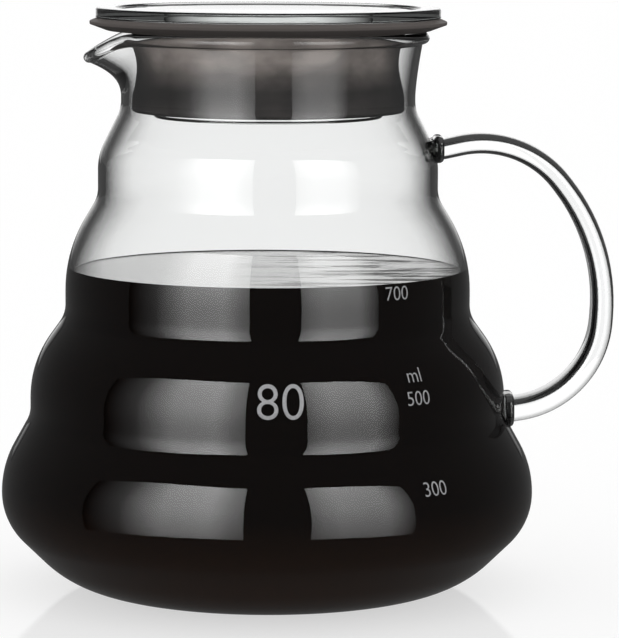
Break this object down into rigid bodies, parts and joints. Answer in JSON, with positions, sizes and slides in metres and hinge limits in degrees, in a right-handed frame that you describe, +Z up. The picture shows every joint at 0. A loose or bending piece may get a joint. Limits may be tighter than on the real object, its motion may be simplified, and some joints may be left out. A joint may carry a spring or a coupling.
{
  "type": "coffee server carafe",
  "caption": "Blown-glass coffee server with a tiered bowl, a pulled pouring lip, a bent glass handle on two fused pads and a lift-off clear lid with a waisted silicone seal.",
  "frame": {"origin": "centre of the flat foot, on the table", "axes": "+Z up along the bowl's axis, the pouring lip towards -X, the handle towards +X"},
  "size_m": [0.1459, 0.127, 0.1386],
  "materials": {
    "clear_glass": "polished blown borosilicate glass",
    "handle_glass": "polished bent glass rod",
    "pad_glass": "fused glass gather",
    "lid_clear": "polished moulded disc",
    "seal_silicone": "smoky dark grey satin silicone"
  },
  "bodies": {
    "carafe": {"glass_body": "clear_glass", "handle": "handle_glass", "upper_handle_pad": "pad_glass", "lower_handle_pad": "pad_glass"},
    "seal": {"lid_seal": "seal_silicone"},
    "disc": {"lid_disc": "lid_clear"}
  },
  "joints": [
    {"name": "lid_lift", "type": "slide", "parent": "carafe", "child": "seal", "axis": [0, 0, 1], "range_m": [0, 0.045]},
    {"name": "disc_pull", "type": "slide", "parent": "seal", "child": "disc", "axis": [0, 0, 1], "range_m": [0, 0.03]}
  ]
}
